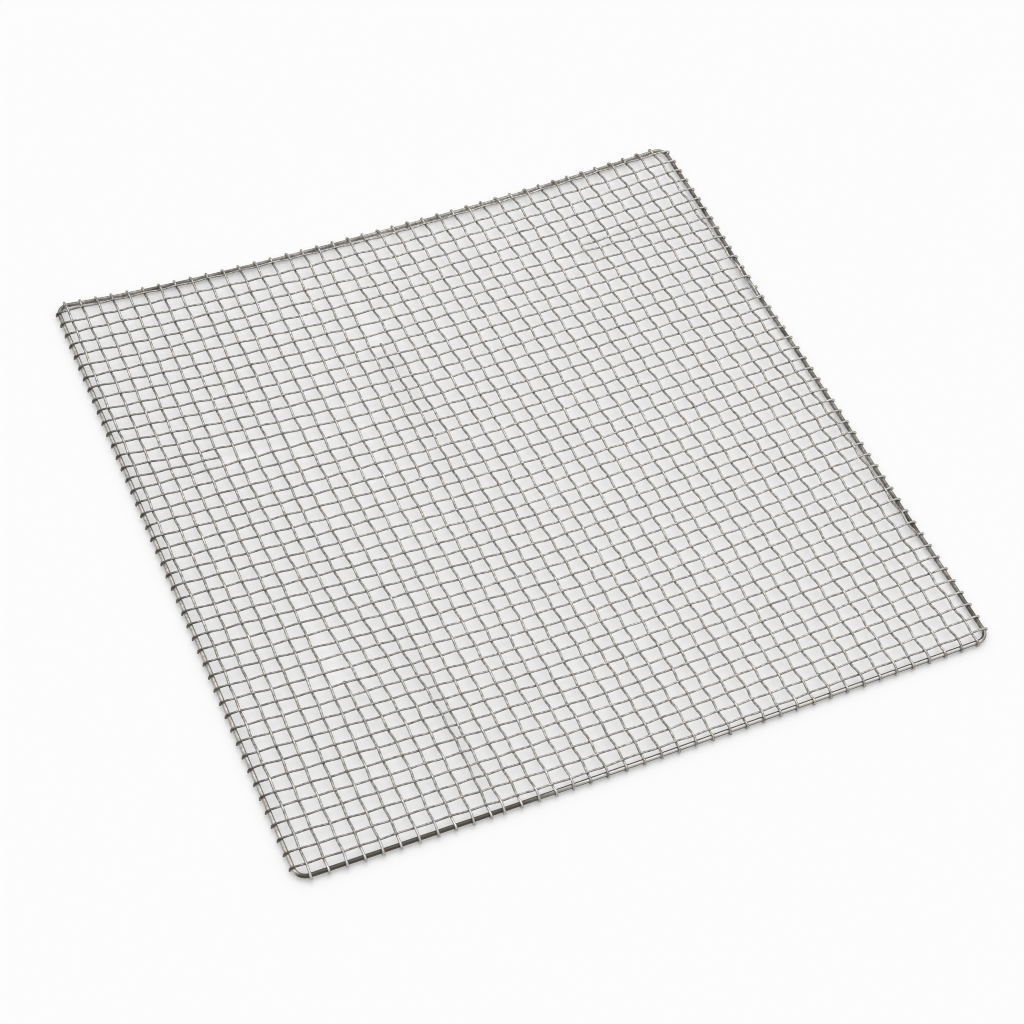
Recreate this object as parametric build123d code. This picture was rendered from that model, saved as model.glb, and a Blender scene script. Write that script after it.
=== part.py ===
from build123d import *
import math
import os

# Square wire gauze: a plain weave of fine wires, with their ends wrapped round a bent rim rod.
# X runs along the near rim, Y from the near rim to the far one, and Z is up.
# The origin is under the middle of the sheet, on the surface that the wrapped ends lie on.

# Driving dimensions, in millimetres
SIDE = 150.0  # over the outside of the rim rod
ROD_DIAMETER = 0.9
ROD_BEND_RADIUS = 2.4  # at the rod's centre line, in each corner
WIRE_DIAMETER = 0.51
CLEARANCE = 0.02  # between pieces that touch
WRAP_TAIL = 0.4  # how far a wrapped end reaches in past the middle of the rod

# Numbers of wires
WARP_COUNT = 40  # crimped, from the near rim to the far one
WEFT_COUNT = 46  # straight, from left to right

# Round rod and wires have sections with a few flat sides, which keeps the weave light.
# A wire's section has three, and is as wide and as tall as the wire is thick: its flat face lies
# against the rod, and its ridge points away from the rod.
ROD_SIDES = 12

# Levels: ends under the rod, the rod, then the weft wires lying flat across it
WRAP_REACH = ROD_DIAMETER / 2 + CLEARANCE  # from the rod's centre line to a wire's flat face
ROD_LEVEL = WIRE_DIAMETER + WRAP_REACH
WEFT_LEVEL = ROD_LEVEL + WRAP_REACH

# Places: the outermost wires lie just clear of the corner bends
ROD_SPAN = SIDE - ROD_DIAMETER
EDGE_GAP = ROD_BEND_RADIUS + WIRE_DIAMETER / 2
WOVEN_SPAN = ROD_SPAN - 2 * EDGE_GAP
WEFT_PITCH = WOVEN_SPAN / (WEFT_COUNT - 1)
WARP_PITCH = WOVEN_SPAN / (WARP_COUNT - 1)


def crimp_slope():
    """Slope at which a warp wire just clears the ridge of one weft wire and the flat of the next."""
    run = WEFT_PITCH - WIRE_DIAMETER / 2
    rise = WIRE_DIAMETER + 2 * CLEARANCE
    square = run**2 - WIRE_DIAMETER**2
    return (run * rise + math.sqrt((run * rise) ** 2 - square * (rise**2 - WIRE_DIAMETER**2))) / square


def tangent_rise(drop_in):
    """Height above the rod's centre at which a wire, pulled tight over the rod from its last
    crossing, turns down the rod's outside. drop_in is that crossing's own height."""
    room = EDGE_GAP**2 - WRAP_REACH**2
    pull = WRAP_REACH * math.sqrt(room + drop_in**2)
    slope = (pull - drop_in * EDGE_GAP) / room
    return drop_in + slope * (EDGE_GAP + WRAP_REACH)


def wrap(rise):
    """Path round the rod from over its top to underneath, as (outward, up) from its centre."""
    return [(WRAP_REACH, rise), (WRAP_REACH, -WRAP_REACH), (-WRAP_TAIL, -WRAP_REACH)]


def along(points, rim):
    """Moves a wrap to the rim at the start (-1) or the end (+1) of a wire."""
    placed = [(rim * (ROD_SPAN / 2 + out), ROD_LEVEL + up) for out, up in points]
    return placed if rim > 0 else placed[::-1]


def weft_path():
    """Straight across the sheet, resting on both side rods."""
    level_wrap = wrap(WRAP_REACH)
    return along(level_wrap, -1) + along(level_wrap, 1)


def warp_path(starts_over):
    """Over and under the weft wires in turn, from the near rod to the far one."""
    over = WEFT_LEVEL + WIRE_DIAMETER + CLEARANCE
    under = over - crimp_slope() * WEFT_PITCH
    crossings = []
    for row in range(WEFT_COUNT):
        is_over = (row % 2 == 0) == starts_over
        crossings.append((row * WEFT_PITCH - WOVEN_SPAN / 2, over if is_over else under))
    near_wrap = wrap(tangent_rise(crossings[0][1] - ROD_LEVEL))
    far_wrap = wrap(tangent_rise(crossings[-1][1] - ROD_LEVEL))
    return along(near_wrap, -1) + crossings + along(far_wrap, 1)


def bent_wire(points, upright):
    """Sweeps the wire's section along a path drawn in an upright plane, with mitred bends."""
    path = upright * Polyline(*points)
    start = Plane(origin=path @ 0, x_dir=upright.z_dir, z_dir=path % 0)
    half = WIRE_DIAMETER / 2
    section = make_face(Polyline((-half, 0), (half, 0), (0, -WIRE_DIAMETER), close=True))
    return sweep(start * section, path=path, transition=Transition.RIGHT).solid()


def rim_rod():
    """One rod bent into a square with rounded corners."""
    path = Pos(0, 0, ROD_LEVEL) * RectangleRounded(ROD_SPAN, ROD_SPAN, ROD_BEND_RADIUS).wire()
    start = Plane(origin=path @ 0, z_dir=path % 0)
    return sweep(start * RegularPolygon(ROD_DIAMETER / 2, ROD_SIDES), path=path).solid()


def warp_wires():
    """Neighbouring wires pass the same weft wire on opposite sides."""
    crimped = [bent_wire(warp_path(starts_over), Plane.YZ) for starts_over in (True, False)]
    wires = []
    for column in range(WARP_COUNT):
        wires.append(Pos(column * WARP_PITCH - WOVEN_SPAN / 2, 0, 0) * crimped[column % 2])
    return Compound(children=wires)


def weft_wires():
    """Straight wires, all alike."""
    straight = bent_wire(weft_path(), Plane.XZ)
    wires = []
    for row in range(WEFT_COUNT):
        wires.append(Pos(0, row * WEFT_PITCH - WOVEN_SPAN / 2, 0) * straight)
    return Compound(children=wires)


os.makedirs("parts", exist_ok=True)
export_step(rim_rod(), "parts/rim_rod.step")
export_step(warp_wires(), "parts/warp_wires.step")
export_step(weft_wires(), "parts/weft_wires.step")
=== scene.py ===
"""Woven wire gauze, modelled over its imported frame. Laid out as an add-on and run as a script."""

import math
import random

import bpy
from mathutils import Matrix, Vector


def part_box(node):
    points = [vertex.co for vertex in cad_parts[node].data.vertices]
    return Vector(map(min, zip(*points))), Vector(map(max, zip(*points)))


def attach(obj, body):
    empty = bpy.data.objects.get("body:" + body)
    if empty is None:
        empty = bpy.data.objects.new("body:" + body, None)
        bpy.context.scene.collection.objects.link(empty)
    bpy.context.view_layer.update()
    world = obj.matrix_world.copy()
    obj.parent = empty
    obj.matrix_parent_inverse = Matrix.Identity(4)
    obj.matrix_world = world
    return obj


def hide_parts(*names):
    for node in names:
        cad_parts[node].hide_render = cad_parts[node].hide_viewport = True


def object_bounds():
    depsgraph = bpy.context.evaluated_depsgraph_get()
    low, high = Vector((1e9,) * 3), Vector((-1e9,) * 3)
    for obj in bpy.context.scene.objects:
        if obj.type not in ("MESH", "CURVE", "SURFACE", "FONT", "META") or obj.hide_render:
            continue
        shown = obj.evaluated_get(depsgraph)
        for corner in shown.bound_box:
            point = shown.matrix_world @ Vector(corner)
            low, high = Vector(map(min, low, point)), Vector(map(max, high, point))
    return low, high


bl_info = {
    "name": "Wire Gauze",
    "version": (1, 0, 0),
    "blender": (4, 5, 0),
    "location": "3D View > Sidebar > Gauze",
    "description": "Models a square of woven wire with its ends wrapped round a rim rod",
    "category": "Object",
}

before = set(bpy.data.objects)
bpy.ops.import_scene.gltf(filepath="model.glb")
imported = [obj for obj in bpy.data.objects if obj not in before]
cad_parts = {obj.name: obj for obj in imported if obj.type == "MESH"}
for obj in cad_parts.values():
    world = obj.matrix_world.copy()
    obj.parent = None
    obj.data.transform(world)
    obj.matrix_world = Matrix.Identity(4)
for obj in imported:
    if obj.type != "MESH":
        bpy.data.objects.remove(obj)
CAD_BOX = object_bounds()

# Places read from the frame, in metres
ROD_LOW, ROD_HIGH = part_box("rim_rod")
WARP_LOW, WARP_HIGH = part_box("warp_wires")
ROD_RADIUS = (ROD_HIGH.z - ROD_LOW.z) / 2
ROD_LEVEL = (ROD_HIGH.z + ROD_LOW.z) / 2
ROD_HALF = ROD_HIGH.x - ROD_RADIUS  # from the middle of the sheet to a side's centre line
WIRE_HALF = 0.000255  # half the width of a wire of the frame

# Wires and faults of the weave, counted from the left and from the far rim.
# A wire whose number ends in a half runs only part of the way, between its two neighbours.
WARP_COUNT = 40
WEFT_COUNT = 46
FULL_ROWS = WEFT_COUNT - 1  # at each side rim one wire more, which stops short
LEFT_SHORT_ROW = 14.5
RIGHT_SHORT_ROW = 5.5
FIRST_LATE_WARP = 5.5
SECOND_LATE_WARP = 16.5
CROWDED_WARP = 10  # stands close to its left neighbour at the near rim

# Columns that a wire drifts to the right on its way from the far rim to the near one
LEFT_DRIFT = 1.08
MIDDLE_DRIFT = 0.83
RIGHT_DRIFT = 1.98
LEFT_LEAN = 0.28  # the far halves of the first wires stand that much further left
LEAN_START = -3  # the lean swells and fades between these two columns
LEAN_END = 14
LAST_COLUMN = 39.7  # where a drifting wire meets the right rod

# Shares of the sheet, and the powers that their curves follow
FIRST_LATE_SHARE = 0.74  # of the way from the far rim to the near one
SECOND_LATE_SHARE = 0.23
LEFT_SHORT_SHARE = -0.70  # of the way from the middle to a side rim
RIGHT_SHORT_SHARE = 0.52
PINCH_SHARE = 0.35  # of a loop's height that is left at its tip where the wire stands off the rod
SETTLING_SHARE = 0.8  # of a side, past which the rod follows its shifted neighbour
ROW_CROWDING_SHARE = 0.067  # rows stand closer towards the near rim
ROW_SWELL_SHARE = 0.004  # and a little closer to both rims than in between
LEFT_CROWDING_SHARE = 0.0125  # the same at the side rims
RIGHT_CROWDING_SHARE = 0.016
LEAN_SHARES = (0.38, 0.62)  # of the way to the near rim, over which the lean ends
DRIFT_SHARES = (0.52, 0.92)  # and over which the left drift takes place
DRIFT_GROWTH_SHARE = 0.005  # of the right drift, from wire to wire
LAST_DRIFT_SHARE = -0.06  # the same for the last two
RIGHT_PINCH_SHARES = (0.12, 0.3, 0.48)  # start, tip and end of the dent in the right rod
RIGHT_FLARE_SHARES = (0.75, 0.9)  # and over which it then turns out
LEFT_BOW_POWER = 3.3
RIGHT_BOW_POWER = 2.1
SKEW_POWER = 1.5
ROW_POWER = 1.4
FAULT_POWER = 2.2  # rows on the far side of a short row
DRIFT_POWER = 2.4

# Each neighbour on the other side pulls a wire's curve back, so its corner points reach further
PULL_SHARE = 0.5
CREST_SHARE = 1.15  # of the crimp, for corner points with a neighbour on the same side
OCTAGON = math.tan(math.pi / 8)
LEFT_STEPS = 2  # the last corner point of an end at the left rim, which is cut off outside the rod
CROSSING_ROUNDS = 6  # in which the place of a crossing is found

# Fineness of the meshes
ROD_SIDES = 16
BEND_STEPS = 8
SIDE_CUTS = 31
MERGE_SHARE = 0.02  # of the rod's radius, within which points are merged
WIRE_BEVEL = 2
WIRE_STEPS = 4
WIRE_ORDER = 3

# Patterns of the steel, with scales in parts per metre
MOTTLE_SCALE = 1500.0
MOTTLE_DETAIL = 3.0
MOTTLE_LIMITS = (0.36, 0.64)
MOTTLE_SHARES = (0.62, 1.32)  # of the steel's colour
HEAT_SCALE = 380.0
HEAT_DETAIL = 2.0
HEAT_LIMITS = (0.4, 0.6)
PATCH_SCALE = 220.0
PATCH_DETAIL = 3.0
PATCH_LIMITS = (0.35, 0.6)
PATCH_SHARES = (1.0, 0.45)  # of the film on the rod
MARK_SCALE = 4000.0
MARK_DETAIL = 2.0
MARK_STRENGTH = 0.2
MARK_DEPTH = 0.00004
GLOSS_LIMITS = (0.3, 0.7)
ROUGHNESS_LEVELS = (0.5, 0.34)
WIRE_METAL_SHARE = 1.0
ROD_METAL_SHARE = 0.6
TONE_SHARES = (0.92, 1.08)  # of the colour, drawn for each wire

# Places between which a finish comes in, in metres from the middle of the sheet
DARK_WEFT_PLACES = (-0.07, 0.01)
LEFT_END_PLACES = (-0.0726, -0.0735)
RIGHT_END_PLACES = (0.0722, 0.0732)
NEAR_END_PLACES = (-0.0720, -0.0732)
LEFT_PART_PLACES = (-0.015, -0.03)
FAR_ROD_PLACES = (0.069, 0.0708)
FADING_PLACES = (-0.035, 0.005)
NEAR_ROD_PLACES = (-0.0722, -0.0731)
LEFT_ROD_PLACES = (-0.0725, -0.0735)

# Shares of a finish that show there
DARK_WEFT_SHARES = (0.7, 1.08)
# painted shade on the wefts' left ends
LEFT_SHADE_SHARE = 0.65
# painted highlight on the wefts' right ends
RIGHT_HIGHLIGHT_SHARE = 0.7
NEAR_END_SHARE = 0.8
FADING_SHARES = (0.9, 0.35)
RIGHT_ROD_SHARE = 0.95
LEFT_PALE_SHARE = 0.25
# painted shade on the left rod's edge towards the sheet
INNER_SHADE_SHARE = 0.7

# Directions that the rod's painted highlight band and its painted shaded inner edge face, and how
# squarely
BAND_DIRECTION = (0, -0.55, 0.835)
BAND_LIMITS = (0.95, 0.7)
INNER_DIRECTION = (1, 0, 0)
INNER_LIMITS = (0.2, 0.7)

# Light and camera
WINDOW_PLACE = (0.2, 0.32, 0.9)
WINDOW_ANGLE = math.radians(45)
WINDOW_STRENGTH = 0.56
ROOM_DIRECTION = (0.08, 0.12, 0.99)
ROOM_LIMITS = (0.15, 0.95)
ROOM_LEVELS = (0.2, 1.25)
TABLE_GLOW_SHARE = 0.25
SENSOR_WIDTH = 36.0  # in millimetres
CLIP_RANGE = (0.01, 10.0)
PIXEL_FILTER = 1.0


class GauzeSizes(bpy.types.PropertyGroup):
    """Sizes of the wires and of how unevenly they lie."""

    warp_radius: bpy.props.FloatProperty(
        name="Warp radius",
        description="Half the thickness of a far-to-near wire",
        default=0.000265,
        unit="LENGTH",
    )
    weft_radius: bpy.props.FloatProperty(
        name="Weft radius",
        description="Half the thickness of a left-to-right wire",
        default=0.00022,
        unit="LENGTH",
    )
    warp_crimp: bpy.props.FloatProperty(
        name="Warp crimp",
        description="How far a far-to-near wire rises or falls at a crossing",
        default=0.00034,
        unit="LENGTH",
    )
    weft_crimp: bpy.props.FloatProperty(
        name="Weft crimp",
        description="How far a left-to-right wire rises or falls at a crossing",
        default=0.00013,
        unit="LENGTH",
    )
    rim_inset: bpy.props.FloatProperty(
        name="Rim inset",
        description="How far the left and right sides of the rod lie in from the frame's",
        default=0.0003,
        unit="LENGTH",
    )
    slack: bpy.props.FloatProperty(
        name="Slack",
        description="How far a wrapped end stands off the far and right sides of the rod",
        default=0.00012,
        unit="LENGTH",
    )
    wrap_tail: bpy.props.FloatProperty(
        name="Wrap tail",
        description="How far a wrapped end reaches in past the middle of the rod",
        default=0.00005,
        unit="LENGTH",
    )
    cut_end: bpy.props.FloatProperty(
        name="Cut end",
        description="How far a wire that stops inside the sheet reaches past its last crossing",
        default=0.0003,
        unit="LENGTH",
    )
    far_bow: bpy.props.FloatProperty(
        name="Far bow",
        description="How far the middle of the far rim is pushed in",
        default=0.00275,
        unit="LENGTH",
    )
    near_skew: bpy.props.FloatProperty(
        name="Near skew",
        description="How far the left end of the near rim is pushed in",
        default=0.00095,
        unit="LENGTH",
    )
    right_pinch: bpy.props.FloatProperty(
        name="Right pinch",
        description="How far the right side of the rod is pushed in at one place",
        default=0.0004,
        unit="LENGTH",
    )
    right_flare: bpy.props.FloatProperty(
        name="Right flare",
        description="How far the right side of the rod turns out towards its near end",
        default=0.00017,
        unit="LENGTH",
    )
    sway: bpy.props.FloatProperty(
        name="Sway",
        description="How far the columns in the middle lie to the left of even spacing",
        default=0.0015,
        unit="LENGTH",
    )
    right_gap: bpy.props.FloatProperty(
        name="Right gap",
        description="How much further in the last column stands than the first",
        default=0.0011,
        unit="LENGTH",
    )
    far_row: bpy.props.FloatProperty(
        name="Far row",
        description="Place of the first row at the middle of the sheet",
        default=0.0699,
        unit="LENGTH",
    )
    near_row: bpy.props.FloatProperty(
        name="Near row",
        description="Place of the last row at the middle of the sheet",
        default=-0.0734,
        unit="LENGTH",
    )
    left_rows: bpy.props.FloatVectorProperty(
        name="Left rows",
        description="Places of the first and the last row at the left rim",
        default=(0.0724, -0.0713),
        size=2,
        unit="LENGTH",
    )
    right_rows: bpy.props.FloatVectorProperty(
        name="Right rows",
        description="Places of the first and the last row at the right rim",
        default=(0.0730, -0.0725),
        size=2,
        unit="LENGTH",
    )
    bend_radius: bpy.props.FloatProperty(
        name="Bend radius",
        description="Radius of the rod's centre line in a corner",
        default=0.0024,
        unit="LENGTH",
    )
    stray: bpy.props.FloatProperty(
        name="Stray",
        description="How far a wire strays from its line at a crossing",
        default=0.00005,
        unit="LENGTH",
    )
    wander: bpy.props.FloatProperty(
        name="Wander",
        description="How far a wire wanders from its line over many crossings",
        default=0.0001,
        unit="LENGTH",
    )
    wander_length: bpy.props.FloatProperty(
        name="Wander length",
        description="Length of one such wave",
        default=0.045,
        unit="LENGTH",
    )
    seed: bpy.props.IntProperty(
        name="Seed",
        description="Start of the random draws for uneven wires",
        default=7,
    )


class GauzeFinish(bpy.types.PropertyGroup):
    """Colours of the steel and of the table."""

    warp_steel: bpy.props.FloatVectorProperty(
        name="Warp steel",
        description="Colour of the wires from the far rim to the near one",
        default=(0.48, 0.466, 0.445),
        subtype="COLOR",
    )
    weft_steel: bpy.props.FloatVectorProperty(
        name="Weft steel",
        description="Colour of the wires from left to right",
        default=(0.43, 0.417, 0.40),
        subtype="COLOR",
    )
    rod_steel: bpy.props.FloatVectorProperty(
        name="Rod steel",
        description="Colour of the rim rod where it is clean",
        default=(0.44, 0.425, 0.395),
        subtype="COLOR",
    )
    # Pale colour: painted highlight on the rod's near side and on the wefts' right ends, and a
    # paler tone on the rod's left side and on the warps' near ends.
    pale_steel_and_highlight: bpy.props.FloatVectorProperty(
        name="Pale steel and highlight",
        description="Colour of the rod and of the wires' ends where they are rubbed bright",
        default=(0.72, 0.71, 0.69),
        subtype="COLOR",
    )
    # Dark colour: a patchy film on the rod's far and right sides, and painted shade and a painted
    # dark reflection on the rod's near and left sides and on the wefts' left ends.
    tarnish_and_shade: bpy.props.FloatVectorProperty(
        name="Tarnish and shade",
        description="Olive-brown film on the rod and on the wires' left ends",
        default=(0.085, 0.077, 0.063),
        subtype="COLOR",
    )
    warm: bpy.props.FloatVectorProperty(
        name="Warm tint",
        description="Tint of the steel where heat has coloured it",
        default=(1.0, 0.965, 0.92),
        subtype="COLOR",
    )
    cool: bpy.props.FloatVectorProperty(
        name="Cool tint",
        description="Tint of the steel elsewhere",
        default=(0.97, 0.985, 1.0),
        subtype="COLOR",
    )
    table: bpy.props.FloatVectorProperty(
        name="Table",
        description="Colour of the surface under the sheet",
        default=(0.94, 0.94, 0.94),
        subtype="COLOR",
    )


class GauzeView(bpy.types.PropertyGroup):
    """Camera at the photograph's viewing angle."""

    camera_place: bpy.props.FloatVectorProperty(
        name="Camera place",
        description="Where the camera stands",
        default=(-0.13837, -0.24410, 0.35989),
        subtype="TRANSLATION",
        unit="LENGTH",
    )
    camera_turn: bpy.props.FloatVectorProperty(
        name="Camera turn",
        description="How the camera is turned from looking straight down",
        default=(math.radians(36.626), math.radians(-4.529), math.radians(-24.008)),
        subtype="EULER",
        unit="ROTATION",
    )
    lens: bpy.props.FloatProperty(
        name="Lens",
        description="Focal length on a 36 mm sensor",
        default=76.14,
        unit="CAMERA",
    )
    table_size: bpy.props.FloatProperty(
        name="Table size",
        description="Side of the table top",
        default=4.0,
        unit="LENGTH",
    )


def far_rod(x):
    """Y of the far rod's centre line, which is bowed in."""
    sizes = bpy.context.scene.gauze_sizes
    share = min(1.0, abs(x) / (ROD_HALF - sizes.bend_radius))
    power = LEFT_BOW_POWER if x < 0 else RIGHT_BOW_POWER
    return ROD_HALF - sizes.far_bow * (1 - share**power)


def near_rod(x):
    """Y of the near rod's centre line, whose left end is pushed in."""
    sizes = bpy.context.scene.gauze_sizes
    share = max(0.0, min(1.0, -x / ROD_HALF))
    return sizes.near_skew * share**SKEW_POWER - ROD_HALF


def right_rod(y):
    """X of the right rod's centre line, which has a dent and turns out at the near end."""
    sizes = bpy.context.scene.gauze_sizes
    share = share_at(y)
    start, tip, end = RIGHT_PINCH_SHARES
    pinch = eased(share, (start, tip)) - eased(share, (tip, end))
    flare = eased(share, RIGHT_FLARE_SHARES)
    return ROD_HALF - sizes.rim_inset - sizes.right_pinch * pinch + sizes.right_flare * flare


def column_place(column):
    """X of a column, where whole numbers are the columns at the far rim."""
    sizes = bpy.context.scene.gauze_sizes
    share = column / (WARP_COUNT - 1)
    first = WARP_LOW.x + WIRE_HALF
    last = WARP_HIGH.x - WIRE_HALF - sizes.right_gap
    return first + (last - first) * share - sizes.sway * math.sin(math.pi * share)


def eased(value, limits):
    """0 before the first limit and 1 past the second, with a soft start and end."""
    share = max(0.0, min(1.0, (value - limits[0]) / (limits[1] - limits[0])))
    return share * share * (3 - 2 * share)


def crowded(share, crowding):
    """Share of the way along a side, with the wires closer together towards the end."""
    return share + crowding * share * (1 - share)


def lean(warp, share):
    """Columns that the far half of a wire on the left stands to the left of its place."""
    if warp > LEAN_END:
        return 0.0
    swell = math.sin(math.pi * (warp - LEAN_START) / (LEAN_END - LEAN_START))
    return LEFT_LEAN * swell * (1 - eased(share, LEAN_SHARES))


def right_drift(warp):
    """Columns that a wire on the right drifts, growing from wire to wire."""
    growth = DRIFT_GROWTH_SHARE * (warp - SECOND_LATE_WARP)
    return RIGHT_DRIFT * (1 + growth + LAST_DRIFT_SHARE * max(0, warp - (WARP_COUNT - 3)))


def drifted(warp, share):
    """Column that a wire has reached at a share of its way from the far rim to the near one."""
    left = math.floor(warp)
    if left != warp:
        return (drifted(left, share) + drifted(left + 1, share)) / 2
    column = warp - lean(warp, share)
    if warp < FIRST_LATE_WARP:
        return column
    if warp < CROWDED_WARP:
        return column + LEFT_DRIFT * eased(share, DRIFT_SHARES)
    if warp < SECOND_LATE_WARP:
        return column + MIDDLE_DRIFT * share**DRIFT_POWER
    return column + right_drift(warp) * share


def share_at(y):
    return (ROD_HALF - y) / (2 * ROD_HALF)


def warp_x(warp, y):
    """X of a far-to-near wire where it is at y."""
    return column_place(drifted(warp, share_at(y)))


def weft_y(row, x):
    """Y of a left-to-right wire where it is at x."""
    above = math.floor(row)
    if above != row:
        return (weft_y(above, x) + weft_y(above + 1, x)) / 2
    sizes = bpy.context.scene.gauze_sizes
    share = crowded(row / (FULL_ROWS - 1), ROW_CROWDING_SHARE)
    share -= ROW_SWELL_SHARE * math.sin(2 * math.pi * share)
    middle = sizes.far_row + (sizes.near_row - sizes.far_row) * share
    fault, (first, last), crowding = LEFT_SHORT_ROW, sizes.left_rows, LEFT_CROWDING_SHARE
    if x > 0:
        fault, (first, last), crowding = RIGHT_SHORT_ROW, sizes.right_rows, RIGHT_CROWDING_SHARE
    tick = row if row < fault else row + 1
    at_rim = first + (last - first) * crowded(tick / (WEFT_COUNT - 1), crowding)
    power = ROW_POWER
    if row < fault:
        power += (FAULT_POWER - ROW_POWER) * row / fault
    return middle + (at_rim - middle) * (abs(x) / ROD_HALF) ** power


def warp_reach(warp):
    """Shares of the way from the far rim to the near one at which a wire starts and ends."""
    start = {FIRST_LATE_WARP: FIRST_LATE_SHARE, SECOND_LATE_WARP: SECOND_LATE_SHARE}.get(warp, 0.0)
    end = 1.0
    if warp > SECOND_LATE_WARP and warp + right_drift(warp) > LAST_COLUMN:
        end = (LAST_COLUMN - warp) / right_drift(warp)
    return start, end


def weft_reach(row):
    """Shares of the half width, from -1 at the left to 1 at the right, that a wire spans."""
    left = RIGHT_SHORT_SHARE if row == RIGHT_SHORT_ROW else -1.0
    right = LEFT_SHORT_SHARE if row == LEFT_SHORT_ROW else 1.0
    return left, right


def all_warps():
    return [*range(WARP_COUNT), FIRST_LATE_WARP, SECOND_LATE_WARP]


def all_wefts():
    return [*range(FULL_ROWS), LEFT_SHORT_ROW, RIGHT_SHORT_ROW]


def crossing(warp, row):
    """Where two wires cross, or None where one of them doesn't reach."""
    y = 0.0
    for _ in range(CROSSING_ROUNDS):
        x = warp_x(warp, y)
        y = weft_y(row, x)
    start, end = warp_reach(warp)
    left, right = weft_reach(row)
    if start <= share_at(y) <= end and left <= x / ROD_HALF <= right:
        return Vector((x, y, weave_level()))
    return None


def weave_level():
    """Middle of the weave, as high as the frame's box allows."""
    sizes = bpy.context.scene.gauze_sizes
    return WARP_HIGH.z - CREST_SHARE * sizes.warp_crimp - sizes.warp_radius


def passes_over(warp, row):
    """1 where the far-to-near wire passes over the other one, and -1 where it passes under."""
    return 1 if (math.ceil(warp) + math.ceil(row)) % 2 == 0 else -1


def crimped(places, sides, crimp):
    """Raises and lowers the corner points of a wire at its crossings."""
    for index, place in enumerate(places):
        neighbours = sides[max(0, index - 1):index] + sides[index + 1:index + 2]
        reach = CREST_SHARE if sides[index] in neighbours else 1 + PULL_SHARE * len(neighbours)
        place.z += sides[index] * crimp * reach
    return places


def strayed(places, across, draw):
    """Moves corner points a little to one side or the other, as in hand-fed wire."""
    sizes = bpy.context.scene.gauze_sizes
    phase = draw.uniform(0, 2 * math.pi)
    for place in places:
        run = place.x + place.y
        wave = math.sin(2 * math.pi * run / sizes.wander_length + phase)
        place += across * (sizes.wander * wave + sizes.stray * draw.uniform(-1, 1))
    return places


def wrapped_end(rim, outward, radius, slack):
    """Corner points of an end from over the rod, round its outside, to underneath."""
    reach = ROD_LEVEL - radius
    turn = reach * OCTAGON
    tip = turn * PINCH_SHARE if slack > 0 else turn
    steps = [
        (turn, reach),
        (reach + slack, tip),
        (reach + slack, -tip),
        (turn, -reach),
        (-bpy.context.scene.gauze_sizes.wrap_tail, -reach),
    ]
    return [rim + outward * out + Vector((0, 0, up)) for out, up in steps]


def cut_off(last, heading):
    """Last point of a wire that stops inside the sheet."""
    place = last + heading * bpy.context.scene.gauze_sizes.cut_end
    place.z = weave_level()
    return place


def warp_points(warp, draw):
    """Corner points of a far-to-near wire's curve, from the far end."""
    sizes = bpy.context.scene.gauze_sizes
    met = [(crossing(warp, row), row) for row in all_wefts()]
    met = sorted([(place, row) for place, row in met if place], key=lambda pair: -pair[0].y)
    sides = [passes_over(warp, row) for _, row in met]
    points = crimped([place for place, _ in met], sides, sizes.warp_crimp)
    points = strayed(points, Vector((1, 0, 0)), draw)
    far, near = Vector((0, 1, 0)), Vector((0, -1, 0))
    start, end = warp_reach(warp)
    if start == 0:
        x = warp_x(warp, far_rod(points[0].x))
        rim = Vector((x, far_rod(x), ROD_LEVEL))
        slack = min(sizes.slack, ROD_HALF - far_rod(x))
        points = wrapped_end(rim, far, sizes.warp_radius, slack)[::-1] + points
    else:
        points = [cut_off(points[0], far)] + points
    if end == 1:
        x = warp_x(warp, -ROD_HALF)
        rim = Vector((x, near_rod(x), ROD_LEVEL))
        slack = min(sizes.rim_inset, near_rod(x) + ROD_HALF)
        points = points + wrapped_end(rim, near, sizes.warp_radius, slack)
    else:
        points = points + [cut_off(points[-1], near)]
    return points


def weft_points(row, draw):
    """Corner points of a left-to-right wire's curve, from the left end."""
    sizes = bpy.context.scene.gauze_sizes
    met = [(crossing(warp, row), warp) for warp in all_warps()]
    met = sorted([(place, warp) for place, warp in met if place], key=lambda pair: pair[0].x)
    sides = [-passes_over(warp, row) for _, warp in met]
    points = crimped([place for place, _ in met], sides, sizes.weft_crimp)
    points = strayed(points, Vector((0, 1, 0)), draw)
    left, right = Vector((-1, 0, 0)), Vector((1, 0, 0))
    start, end = weft_reach(row)
    if start == -1:
        rim = Vector((sizes.rim_inset - ROD_HALF, weft_y(row, -ROD_HALF), ROD_LEVEL))
        tight = ROD_RADIUS + 2 * sizes.weft_radius - ROD_LEVEL  # close against the rod
        points = wrapped_end(rim, left, sizes.weft_radius, tight)[LEFT_STEPS::-1] + points
    else:
        points = [cut_off(points[0], left)] + points
    if end == 1:
        y = weft_y(row, ROD_HALF)
        rim = Vector((right_rod(y), y, ROD_LEVEL))
        points = points + wrapped_end(rim, right, sizes.weft_radius, sizes.slack)
    else:
        points = points + [cut_off(points[-1], right)]
    return points


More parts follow.
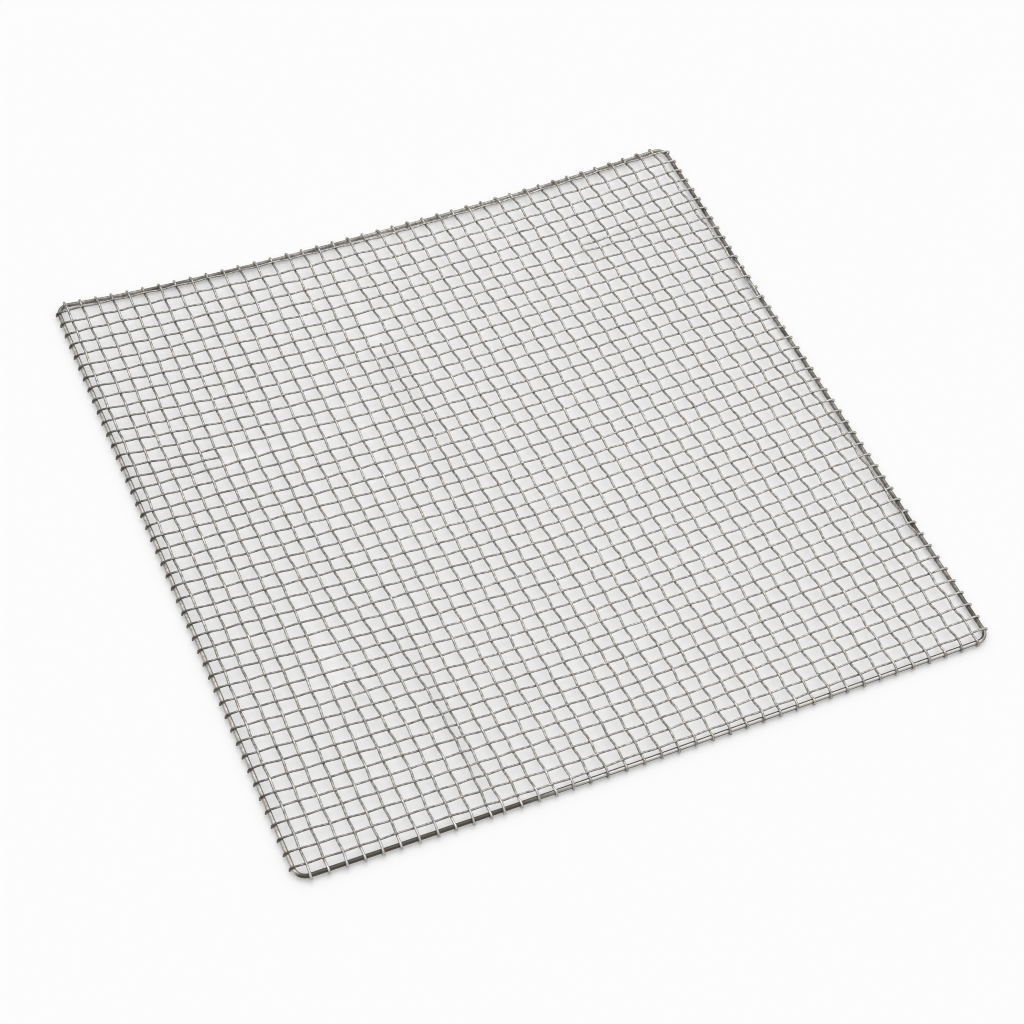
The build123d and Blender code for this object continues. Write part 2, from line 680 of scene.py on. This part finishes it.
def drawn_wire(points, radius, tone):
    """One round wire along a smooth curve, as a mesh that carries its own tone."""
    bpy.ops.object.select_all(action="DESELECT")
    bpy.ops.curve.primitive_nurbs_path_add(location=(0, 0, 0))
    wire = bpy.context.object
    wire.data.bevel_depth = radius
    wire.data.bevel_resolution = WIRE_BEVEL
    wire.data.resolution_u = WIRE_STEPS
    wire.data.use_fill_caps = True
    spline = wire.data.splines[0]
    spline.points.add(len(points) - len(spline.points))
    for corner, point in zip(spline.points, points):
        corner.co = (*point, 1.0)
    spline.order_u = WIRE_ORDER
    spline.use_endpoint_u = True
    bpy.ops.object.convert(target="MESH")
    wire = bpy.context.object
    give_tone(wire, tone)
    return wire


def give_tone(piece, tone):
    """A number on every point, which the material multiplies the colour by."""
    attribute = piece.data.attributes.new("tone", "FLOAT", "POINT")
    attribute.data.foreach_set("value", [tone] * len(piece.data.vertices))


def joined(wires, name):
    """One smooth piece from a set of wires."""
    bpy.ops.object.select_all(action="DESELECT")
    for wire in wires:
        wire.select_set(True)
    bpy.context.view_layer.objects.active = wires[0]
    bpy.ops.object.join()
    bpy.ops.object.shade_smooth()
    piece = bpy.context.object
    piece.name = name
    piece.data.name = name
    return piece


def put_in_frame(piece, node, material):
    """The piece stands for a node of the frame and takes its finish."""
    piece.data.materials.clear()
    piece.data.materials.append(material)
    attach(piece, "root")
    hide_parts(node)


def add_node(tree, kind, inputs=None, **settings):
    """A node with its settings made and its inputs filled or linked."""
    node = tree.nodes.new(kind)
    for name, value in settings.items():
        setattr(node, name, value)
    for name, value in (inputs or {}).items():
        if isinstance(value, bpy.types.NodeSocket):
            tree.links.new(value, node.inputs[name])
        else:
            node.inputs[name].default_value = value
    return node


def noise(tree, where, scale, detail):
    inputs = {"Vector": where, "Scale": scale, "Detail": detail}
    return add_node(tree, "ShaderNodeTexNoise", inputs).outputs["Fac"]


def spread(tree, value, limits, levels=(0.0, 1.0)):
    """Stretches the part of a value between two limits, to run between two levels."""
    inputs = {
        "Value": value,
        "From Min": limits[0],
        "From Max": limits[1],
        "To Min": levels[0],
        "To Max": levels[1],
    }
    return add_node(tree, "ShaderNodeMapRange", inputs).outputs["Result"]


def combine(tree, operation, first, second):
    node = add_node(tree, "ShaderNodeMath", {0: first, 1: second}, operation=operation)
    return node.outputs["Value"]


def dot(tree, first, second):
    inputs = {0: first, 1: second}
    node = add_node(tree, "ShaderNodeVectorMath", inputs, operation="DOT_PRODUCT")
    return node.outputs["Value"]


def blend(tree, factor, first, second, blend_type="MIX"):
    inputs = {"Factor": factor, "A": first, "B": second}
    node = add_node(tree, "ShaderNodeMix", inputs, data_type="RGBA", blend_type=blend_type)
    return node.outputs["Result"]


def opaque(colour, level=1.0):
    return (colour[0] * level, colour[1] * level, colour[2] * level, 1.0)


def steel(name, colour, film, metallic):
    """Drawn steel: fine mottling, its own film, pale places, painted shade and painted highlights,
    heat tints and drawing marks.
    """
    finish = bpy.context.scene.gauze_finish
    material = bpy.data.materials.new(name)
    material.use_nodes = True
    tree = material.node_tree
    shader = tree.nodes["Principled BSDF"]
    shader.inputs["Metallic"].default_value = metallic
    where = add_node(tree, "ShaderNodeTexCoord").outputs["Object"]

    mottle = noise(tree, where, MOTTLE_SCALE, MOTTLE_DETAIL)
    dark, pale = (opaque(colour, share) for share in MOTTLE_SHARES)
    shade = blend(tree, spread(tree, mottle, MOTTLE_LIMITS), dark, pale)
    shade = film(tree, where, shade)
    heat = spread(tree, noise(tree, where, HEAT_SCALE, HEAT_DETAIL), HEAT_LIMITS)
    tint = blend(tree, heat, opaque(finish.cool), opaque(finish.warm))
    shade = blend(tree, 1.0, shade, tint, "MULTIPLY")
    tone = add_node(tree, "ShaderNodeAttribute", attribute_name="tone").outputs["Fac"]
    shade = blend(tree, 1.0, shade, tone, "MULTIPLY")
    tree.links.new(shade, shader.inputs["Base Color"])

    gloss = spread(tree, mottle, GLOSS_LIMITS, ROUGHNESS_LEVELS)
    tree.links.new(gloss, shader.inputs["Roughness"])
    marks = noise(tree, where, MARK_SCALE, MARK_DETAIL)
    inputs = {"Height": marks, "Strength": MARK_STRENGTH, "Distance": MARK_DEPTH}
    bump = add_node(tree, "ShaderNodeBump", inputs)
    tree.links.new(bump.outputs["Normal"], shader.inputs["Normal"])
    return material


def weft_film(tree, where, shade):
    """Darker towards the left, painted shade on the left ends, and a painted highlight on the right
    ends.
    """
    finish = bpy.context.scene.gauze_finish
    place = add_node(tree, "ShaderNodeSeparateXYZ", {"Vector": where}).outputs
    darkening = spread(tree, place["X"], DARK_WEFT_PLACES, DARK_WEFT_SHARES)
    shade = blend(tree, 1.0, shade, darkening, "MULTIPLY")
    # Painted shade on the left ends of the wefts.
    shaded_left_ends = spread(tree, place["X"], LEFT_END_PLACES, (0, LEFT_SHADE_SHARE))
    shade = blend(tree, shaded_left_ends, shade, opaque(finish.tarnish_and_shade))
    # Painted highlight on the right ends of the wefts, where they wrap the rod.
    highlit_right_ends = spread(tree, place["X"], RIGHT_END_PLACES, (0, RIGHT_HIGHLIGHT_SHARE))
    return blend(tree, highlit_right_ends, shade, opaque(finish.pale_steel_and_highlight))


def warp_film(tree, where, shade):
    """Near ends lighter on the left, in the pale colour."""
    finish = bpy.context.scene.gauze_finish
    place = add_node(tree, "ShaderNodeSeparateXYZ", {"Vector": where}).outputs
    near_ends = spread(tree, place["Y"], NEAR_END_PLACES, (0, NEAR_END_SHARE))
    left_part = spread(tree, place["X"], LEFT_PART_PLACES)
    pale_ends = combine(tree, "MULTIPLY", near_ends, left_part)
    return blend(tree, pale_ends, shade, opaque(finish.pale_steel_and_highlight))


def facing(tree, direction):
    """How squarely a place on the surface faces a direction."""
    return dot(tree, add_node(tree, "ShaderNodeNewGeometry").outputs["Normal"], direction)


def rod_film(tree, where, shade):
    """Patchy olive-brown film on the far and right sides of the rod, and a dense painted dark
    reflection on the left part of its near side. The rest of the near side carries a painted
    highlight band between two painted shaded edges, and the left side is pale, with painted shade
    on its edge towards the sheet."""
    finish = bpy.context.scene.gauze_finish
    place = add_node(tree, "ShaderNodeSeparateXYZ", {"Vector": where}).outputs
    far_side = spread(tree, place["Y"], FAR_ROD_PLACES)
    fading = spread(tree, place["X"], FADING_PLACES, FADING_SHARES)
    right_side = spread(tree, place["X"], RIGHT_END_PLACES, (0, RIGHT_ROD_SHARE))
    patches = noise(tree, where, PATCH_SCALE, PATCH_DETAIL)
    patches = spread(tree, patches, PATCH_LIMITS, PATCH_SHARES)
    patchy = combine(tree, "MAXIMUM", combine(tree, "MULTIPLY", far_side, fading), right_side)
    patchy = combine(tree, "MULTIPLY", patchy, patches)

    near_side = spread(tree, place["Y"], NEAR_ROD_PLACES)
    left_part = spread(tree, place["X"], LEFT_PART_PLACES)
    left_side = spread(tree, place["X"], LEFT_ROD_PLACES)
    pale_side = combine(tree, "MULTIPLY", left_side, LEFT_PALE_SHARE)
    # Painted highlight: a bright band along the near side, right of its left part; the left side is
    # also made paler.
    bright = combine(tree, "SUBTRACT", near_side, left_part)
    bright = combine(tree, "MAXIMUM", bright, pale_side)
    shade = blend(tree, bright, shade, opaque(finish.pale_steel_and_highlight))

    # Painted shade on both edges of the near side's bright band, and on the left side's edge
    # towards the sheet.
    shaded_edges = spread(tree, facing(tree, BAND_DIRECTION), BAND_LIMITS)
    shaded_inner_edge = spread(tree, facing(tree, INNER_DIRECTION), INNER_LIMITS, (0, INNER_SHADE_SHARE))
    # Painted shade: a painted dark reflection on the left part of the near side, together with the
    # shaded edges.
    dark_parts = combine(tree, "MAXIMUM", left_part, shaded_edges)
    dark_near = combine(tree, "MULTIPLY", near_side, dark_parts)
    dark_left = combine(tree, "MULTIPLY", left_side, shaded_inner_edge)
    painted_shade = combine(tree, "MAXIMUM", dark_near, dark_left)
    return blend(tree, combine(tree, "MAXIMUM", patchy, painted_shade), shade, opaque(finish.tarnish_and_shade))


def near_corner(run):
    """1 from a corner bend outwards, falling to 0 along the straight before it."""
    bend = ROD_HALF - bpy.context.scene.gauze_sizes.bend_radius
    start = bend * SETTLING_SHARE
    return max(0.0, min(1.0, (run - start) / (bend - start)))


class GAUZE_OT_rim_rod(bpy.types.Operator):
    """Bend one round rod into a square with rounded corners"""

    bl_idname = "gauze.rim_rod"
    bl_label = "Rim rod"

    def execute(self, context):
        sizes = context.scene.gauze_sizes
        finish = context.scene.gauze_finish
        run = ROD_HALF - sizes.bend_radius
        bpy.ops.object.select_all(action="DESELECT")
        bpy.ops.mesh.primitive_circle_add(
            vertices=ROD_SIDES,
            radius=ROD_RADIUS,
            fill_type="NOTHING",
            location=(ROD_HALF, -run, ROD_LEVEL),
            rotation=(math.pi / 2, 0, 0),
        )
        rod = context.object
        bpy.ops.object.transform_apply(location=True, rotation=True, scale=True)
        bpy.ops.object.mode_set(mode="EDIT")
        bpy.ops.mesh.select_all(action="SELECT")
        heading = Vector((0, 1, 0))
        corner = Vector((run, run, 0))
        for _ in range(4):
            side = {"value": heading * 2 * run}
            bpy.ops.mesh.extrude_region_move(TRANSFORM_OT_translate=side)
            bpy.ops.mesh.spin(
                steps=BEND_STEPS, angle=-math.pi / 2, center=corner, axis=(0, 0, 1)
            )
            heading = Vector((-heading.y, heading.x, 0))
            corner = Vector((-corner.y, corner.x, 0))
        bpy.ops.mesh.select_all(action="SELECT")
        bpy.ops.mesh.remove_doubles(threshold=ROD_RADIUS * MERGE_SHARE)
        bpy.ops.mesh.normals_make_consistent(inside=False)
        bpy.ops.mesh.select_mode(type="EDGE")
        bpy.ops.mesh.select_all(action="DESELECT")
        bpy.ops.object.mode_set(mode="OBJECT")
        for edge in rod.data.edges:
            start, end = (rod.data.vertices[index].co for index in edge.vertices)
            edge.select = (start - end).length > run
        bpy.ops.object.mode_set(mode="EDIT")
        bpy.ops.mesh.subdivide(number_cuts=SIDE_CUTS)
        bpy.ops.object.mode_set(mode="OBJECT")
        for vertex in rod.data.vertices:
            place = vertex.co.copy()
            if place.y > 0:
                vertex.co.y += (far_rod(place.x) - ROD_HALF) * near_corner(place.y)
            else:
                vertex.co.y += (near_rod(place.x) + ROD_HALF) * near_corner(-place.y)
            if place.x > 0:
                vertex.co.x += (right_rod(place.y) - ROD_HALF) * near_corner(place.x)
            else:
                vertex.co.x += sizes.rim_inset * near_corner(-place.x)
        bpy.ops.object.shade_smooth()
        rod.name = "rim_rod_bent"
        rod.data.name = "rim_rod_bent"
        give_tone(rod, 1.0)
        material = steel("rod_steel", finish.rod_steel, rod_film, ROD_METAL_SHARE)
        put_in_frame(rod, "rim_rod", material)
        return {"FINISHED"}


class GAUZE_OT_warp_wires(bpy.types.Operator):
    """Weave the wires that run from the far rim to the near one"""

    bl_idname = "gauze.warp_wires"
    bl_label = "Warp wires"

    def execute(self, context):
        sizes = context.scene.gauze_sizes
        finish = context.scene.gauze_finish
        draw = random.Random(sizes.seed)
        wires = []
        for warp in all_warps():
            points = warp_points(warp, draw)
            wires.append(drawn_wire(points, sizes.warp_radius, draw.uniform(*TONE_SHARES)))
        piece = joined(wires, "warp_wires_woven")
        material = steel("warp_steel", finish.warp_steel, warp_film, WIRE_METAL_SHARE)
        put_in_frame(piece, "warp_wires", material)
        return {"FINISHED"}


class GAUZE_OT_weft_wires(bpy.types.Operator):
    """Weave the wires that run from left to right"""

    bl_idname = "gauze.weft_wires"
    bl_label = "Weft wires"

    def execute(self, context):
        sizes = context.scene.gauze_sizes
        finish = context.scene.gauze_finish
        draw = random.Random(sizes.seed + 1)
        wires = []
        for row in all_wefts():
            points = weft_points(row, draw)
            wires.append(drawn_wire(points, sizes.weft_radius, draw.uniform(*TONE_SHARES)))
        piece = joined(wires, "weft_wires_woven")
        material = steel("weft_steel", finish.weft_steel, weft_film, WIRE_METAL_SHARE)
        put_in_frame(piece, "weft_wires", material)
        return {"FINISHED"}


def seen_directly(tree):
    """1 for rays that show the stage itself: from the camera, through glass or off metal."""
    path = add_node(tree, "ShaderNodeLightPath").outputs
    shiny = combine(tree, "MAXIMUM", path["Is Glossy Ray"], path["Is Transmission Ray"])
    return combine(tree, "MAXIMUM", path["Is Camera Ray"], shiny)


def table_white():
    """White table that keeps the sheet's soft shadow."""
    finish = bpy.context.scene.gauze_finish
    material = bpy.data.materials.new("table_white")
    material.use_nodes = True
    tree = material.node_tree
    tree.nodes.remove(tree.nodes["Principled BSDF"])
    matt = add_node(tree, "ShaderNodeBsdfDiffuse", {"Color": opaque(finish.table)})
    white = add_node(tree, "ShaderNodeEmission", {"Strength": 1.0})
    share = combine(tree, "MULTIPLY", seen_directly(tree), TABLE_GLOW_SHARE)
    mixed = add_node(tree, "ShaderNodeMixShader", {"Fac": share})
    tree.links.new(matt.outputs["BSDF"], mixed.inputs[1])
    tree.links.new(white.outputs["Emission"], mixed.inputs[2])
    tree.links.new(mixed.outputs["Shader"], tree.nodes["Material Output"].inputs["Surface"])
    return material


def soft_room():
    """White room that is brighter above than at the sides."""
    world = bpy.data.worlds.new("soft_room")
    world.use_nodes = True
    tree = world.node_tree
    where = add_node(tree, "ShaderNodeTexCoord").outputs["Generated"]
    level = spread(tree, dot(tree, where, ROOM_DIRECTION), ROOM_LIMITS, ROOM_LEVELS)
    camera = add_node(tree, "ShaderNodeLightPath").outputs["Is Camera Ray"]
    strength = combine(tree, "MAXIMUM", level, camera)
    tree.nodes["Background"].inputs["Color"].default_value = (1, 1, 1, 1)
    tree.links.new(strength, tree.nodes["Background"].inputs["Strength"])
    return world


class GAUZE_OT_stage(bpy.types.Operator):
    """Set the table, the soft light and the camera"""

    bl_idname = "gauze.stage"
    bl_label = "Stage"

    def execute(self, context):
        view = context.scene.gauze_view
        bpy.ops.object.select_all(action="DESELECT")
        bpy.ops.mesh.primitive_plane_add(size=view.table_size, location=(0, 0, CAD_BOX[0].z))
        table = context.object
        table.name = "table"
        table.data.materials.append(table_white())
        context.scene.world = soft_room()

        bpy.ops.object.light_add(type="SUN", location=WINDOW_PLACE)
        window = context.object
        window.name = "window_light"
        window.data.angle = WINDOW_ANGLE
        window.data.energy = WINDOW_STRENGTH
        window.rotation_euler = (-window.location).to_track_quat("-Z", "Y").to_euler()

        bpy.ops.object.camera_add(location=view.camera_place, rotation=view.camera_turn)
        camera = context.object
        camera.data.sensor_width = SENSOR_WIDTH
        camera.data.lens = view.lens
        camera.data.clip_start, camera.data.clip_end = CLIP_RANGE
        context.scene.camera = camera
        context.scene.view_settings.view_transform = "Standard"
        context.scene.cycles.filter_width = PIXEL_FILTER
        return {"FINISHED"}


class GAUZE_PT_sidebar(bpy.types.Panel):
    """Lists the steps that build the gauze"""

    bl_idname = "GAUZE_PT_sidebar"
    bl_label = "Wire Gauze"
    bl_space_type = "VIEW_3D"
    bl_region_type = "UI"
    bl_category = "Gauze"

    def draw(self, context):
        column = self.layout.column()
        for operator in OPERATORS:
            column.operator(operator.bl_idname)
        for group in SETTINGS:
            settings = getattr(context.scene, group)
            box = self.layout.box()
            for name in settings.__annotations__:
                box.prop(settings, name)


SETTINGS = {"gauze_sizes": GauzeSizes, "gauze_finish": GauzeFinish, "gauze_view": GauzeView}
OPERATORS = (GAUZE_OT_rim_rod, GAUZE_OT_warp_wires, GAUZE_OT_weft_wires, GAUZE_OT_stage)
CLASSES = (*SETTINGS.values(), *OPERATORS, GAUZE_PT_sidebar)


def register():
    for cls in CLASSES:
        bpy.utils.register_class(cls)
    for name, group in SETTINGS.items():
        setattr(bpy.types.Scene, name, bpy.props.PointerProperty(type=group))


def unregister():
    for name in SETTINGS:
        delattr(bpy.types.Scene, name)
    for cls in reversed(CLASSES):
        bpy.utils.unregister_class(cls)


def main():
    register()
    bpy.ops.gauze.rim_rod()
    bpy.ops.gauze.warp_wires()
    bpy.ops.gauze.weft_wires()
    bpy.ops.gauze.stage()


if __name__ == "__main__":
    main()
